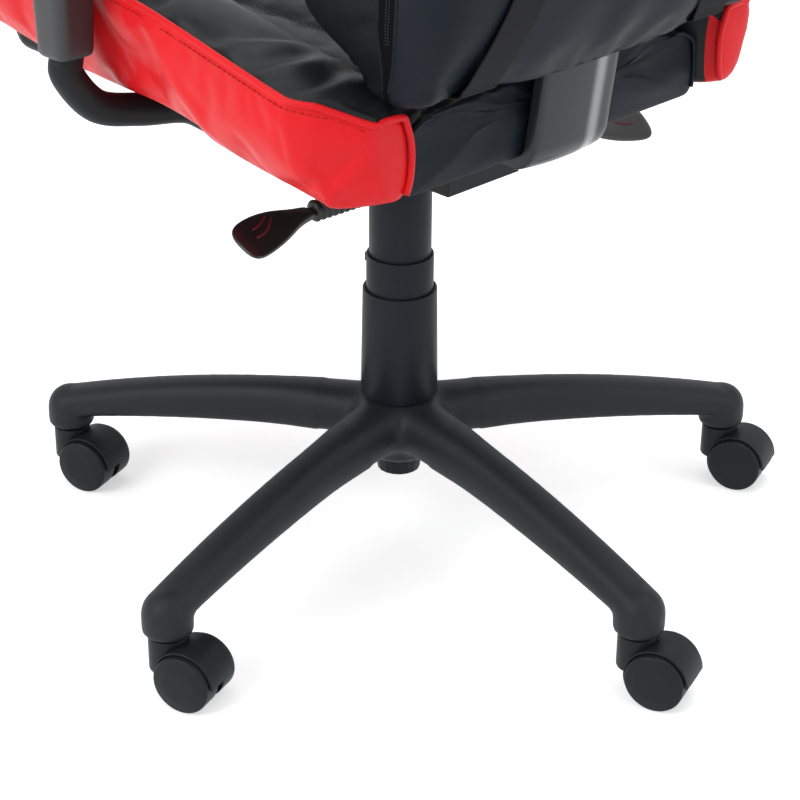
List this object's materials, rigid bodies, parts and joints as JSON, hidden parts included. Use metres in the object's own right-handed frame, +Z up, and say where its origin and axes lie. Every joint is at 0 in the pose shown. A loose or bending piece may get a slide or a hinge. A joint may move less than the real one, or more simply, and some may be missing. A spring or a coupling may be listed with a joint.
{
  "type": "gaming chair",
  "caption": "Swivel gaming chair on a castored star base, with gas lift, rocking mechanism, bolstered seat, tall winged back and armrests.",
  "frame": {"origin": "on the floor, under the middle of the whole chair; the swivel axis stands at x = -6 mm, y = -26 mm", "axes": "+Z up, -Y towards the front of the seat, +X towards the sitter's left"},
  "size_m": [0.6614, 0.6887, 1.254],
  "materials": {
    "nylon": "glass-filled black nylon with a fine grain",
    "castor_nylon": "matte black nylon",
    "zinc_steel": "zinc-plated steel",
    "black_steel": "black powder coat",
    "acetal": "white acetal",
    "chromed_rod": "ground and chromed",
    "gloss_black": "glossy black",
    "black_rubber": "ribbed black rubber",
    "plywood": "raw plywood",
    "black_vinyl": "smooth black vinyl",
    "charcoal_vinyl": "smooth charcoal vinyl",
    "red_vinyl": "bright red vinyl",
    "satin_cover": "satin dark grey",
    "webbing": "black woven webbing",
    "soft_pad": "black self-skinned foam"
  },
  "bodies": {
    "base": {"star_base": "nylon", "lift_outer_tube": "black_steel", "lift_guide_bush": "acetal", "lift_retaining_clip": "zinc_steel", "cover_lower_sleeve": "nylon", "castor_1_stem": "zinc_steel", "castor_2_stem": "zinc_steel", "castor_3_stem": "zinc_steel", "castor_4_stem": "zinc_steel", "castor_5_stem": "zinc_steel"},
    "spindle": {"lift_piston_rod": "chromed_rod"},
    "cover_slider": {"cover_middle_sleeve": "nylon"},
    "mechanism": {"lift_gas_cylinder": "black_steel", "cover_upper_sleeve": "nylon", "mechanism_housing": "black_steel", "pivot_shaft": "zinc_steel", "rocking_spring": "zinc_steel"},
    "release_button": {"lift_release_button": "zinc_steel"},
    "tension_knob": {"tension_knob": "nylon"},
    "height_lever": {"height_lever": "gloss_black", "height_lever_boot": "black_rubber"},
    "rocking_lock_lever": {"rocking_lock_lever": "gloss_black", "rocking_lock_lever_boot": "black_rubber"},
    "seat": {"seat_plate": "black_steel", "seat_board": "plywood", "seat_cushion": "black_vinyl", "seat_bolster_left": "red_vinyl", "seat_bolster_right": "red_vinyl", "back_bracket": "black_steel", "bracket_cover": "satin_cover", "backrest": "charcoal_vinyl", "strap_left": "webbing", "strap_right": "webbing", "lumbar_pillow": "red_vinyl", "arm_tube_left": "black_steel", "arm_sleeve_left": "nylon", "arm_pad_left": "soft_pad", "arm_tube_right": "black_steel", "arm_sleeve_right": "nylon", "arm_pad_right": "soft_pad"},
    "castor_1": {"castor_1_hood": "nylon", "castor_1_axle": "zinc_steel"},
    "castor_1_wheel_left": {"castor_1_wheel_left": "castor_nylon"},
    "castor_1_wheel_right": {"castor_1_wheel_right": "castor_nylon"},
    "castor_2": {"castor_2_hood": "nylon", "castor_2_axle": "zinc_steel"},
    "castor_2_wheel_left": {"castor_2_wheel_left": "castor_nylon"},
    "castor_2_wheel_right": {"castor_2_wheel_right": "castor_nylon"},
    "castor_3": {"castor_3_hood": "nylon", "castor_3_axle": "zinc_steel"},
    "castor_3_wheel_left": {"castor_3_wheel_left": "castor_nylon"},
    "castor_3_wheel_right": {"castor_3_wheel_right": "castor_nylon"},
    "castor_4": {"castor_4_hood": "nylon", "castor_4_axle": "zinc_steel"},
    "castor_4_wheel_left": {"castor_4_wheel_left": "castor_nylon"},
    "castor_4_wheel_right": {"castor_4_wheel_right": "castor_nylon"},
    "castor_5": {"castor_5_hood": "nylon", "castor_5_axle": "zinc_steel"},
    "castor_5_wheel_left": {"castor_5_wheel_left": "castor_nylon"},
    "castor_5_wheel_right": {"castor_5_wheel_right": "castor_nylon"}
  },
  "joints": [
    {"name": "seat_swivel", "type": "hinge", "parent": "base", "child": "spindle", "pos_m": [-0.006, -0.026, 0.1], "axis": [0, 0, 1], "continuous": true},
    {"name": "gas_lift", "type": "slide", "parent": "spindle", "child": "mechanism", "axis": [0, 0, 1], "range_m": [-0.1, 0]},
    {"name": "cover_slide", "type": "slide", "parent": "base", "child": "cover_slider", "axis": [0, 0, 1], "range_m": [-0.05, 0]},
    {"name": "rocking", "type": "hinge", "parent": "mechanism", "child": "seat", "pos_m": [-0.006, -0.056, 0.396], "axis": [-1, 0, 0], "range_deg": [0, 12], "stiffness_Nm_per_rad": 260, "springref_deg": -17.19},
    {"name": "button_press", "type": "slide", "parent": "mechanism", "child": "release_button", "axis": [0, 0, -1], "range_m": [0, 0.003]},
    {"name": "tension_turn", "type": "hinge", "parent": "mechanism", "child": "tension_knob", "pos_m": [-0.006, -0.106, 0.352], "axis": [0, 0, 1], "range_deg": [-720, 720]},
    {"name": "height_lever_lift", "type": "hinge", "parent": "mechanism", "child": "height_lever", "pos_m": [-0.048, 0.052, 0.375], "axis": [0, 1, 0], "range_deg": [0, 4], "stiffness_Nm_per_rad": 8, "springref_deg": -5.16},
    {"name": "rocking_lock_lever_lift", "type": "hinge", "parent": "mechanism", "child": "rocking_lock_lever", "pos_m": [0.036, 0.041, 0.375], "axis": [0, -1, 0], "range_deg": [-6, 6]},
    {"name": "castor_1_swivel", "type": "hinge", "parent": "base", "child": "castor_1", "pos_m": [0.30884, 0.03122, 0.054], "axis": [0, 0, 1], "continuous": true},
    {"name": "castor_1_wheel_left_roll", "type": "hinge", "parent": "castor_1", "child": "castor_1_wheel_left", "pos_m": [0.30147, 0.053, 0.025], "axis": [-0.9472, -0.3206, 0], "continuous": true},
    {"name": "castor_1_wheel_right_roll", "type": "hinge", "parent": "castor_1", "child": "castor_1_wheel_right", "pos_m": [0.30147, 0.053, 0.025], "axis": [-0.9472, -0.3206, 0], "continuous": true},
    {"name": "castor_2_swivel", "type": "hinge", "parent": "base", "child": "castor_2", "pos_m": [0.03688, 0.29112, 0.054], "axis": [0, 0, 1], "continuous": true},
    {"name": "castor_2_wheel_left_roll", "type": "hinge", "parent": "castor_2", "child": "castor_2_wheel_left", "pos_m": [0.0295, 0.3129, 0.025], "axis": [-0.9472, -0.3206, 0], "continuous": true},
    {"name": "castor_2_wheel_right_roll", "type": "hinge", "parent": "castor_2", "child": "castor_2_wheel_right", "pos_m": [0.0295, 0.3129, 0.025], "axis": [-0.9472, -0.3206, 0], "continuous": true},
    {"name": "castor_3_swivel", "type": "hinge", "parent": "base", "child": "castor_3", "pos_m": [-0.29435, 0.11277, 0.054], "axis": [0, 0, 1], "continuous": true},
    {"name": "castor_3_wheel_left_roll", "type": "hinge", "parent": "castor_3", "child": "castor_3_wheel_left", "pos_m": [-0.30172, 0.13456, 0.025], "axis": [-0.9472, -0.3206, 0], "continuous": true},
    {"name": "castor_3_wheel_right_roll", "type": "hinge", "parent": "castor_3", "child": "castor_3_wheel_right", "pos_m": [-0.30172, 0.13456, 0.025], "axis": [-0.9472, -0.3206, 0], "continuous": true},
    {"name": "castor_4_swivel", "type": "hinge", "parent": "base", "child": "castor_4", "pos_m": [-0.22708, -0.25735, 0.054], "axis": [0, 0, 1], "continuous": true},
    {"name": "castor_4_wheel_left_roll", "type": "hinge", "parent": "castor_4", "child": "castor_4_wheel_left", "pos_m": [-0.2123, -0.23973, 0.025], "axis": [-0.766, 0.6428, 0], "continuous": true},
    {"name": "castor_4_wheel_right_roll", "type": "hinge", "parent": "castor_4", "child": "castor_4_wheel_right", "pos_m": [-0.2123, -0.23973, 0.025], "axis": [-0.766, 0.6428, 0], "continuous": true},
    {"name": "castor_5_swivel", "type": "hinge", "parent": "base", "child": "castor_5", "pos_m": [0.14571, -0.30775, 0.054], "axis": [0, 0, 1], "continuous": true},
    {"name": "castor_5_wheel_left_roll", "type": "hinge", "parent": "castor_5", "child": "castor_5_wheel_left", "pos_m": [0.13833, -0.28597, 0.025], "axis": [-0.9472, -0.3206, 0], "continuous": true},
    {"name": "castor_5_wheel_right_roll", "type": "hinge", "parent": "castor_5", "child": "castor_5_wheel_right", "pos_m": [0.13833, -0.28597, 0.025], "axis": [-0.9472, -0.3206, 0], "continuous": true}
  ],
  "couplings": [
    {"joint": "cover_slide", "follows": "gas_lift", "ratio": 0.5},
    {"joint": "button_press", "follows": "height_lever_lift", "m_per_rad": 0.042}
  ]
}
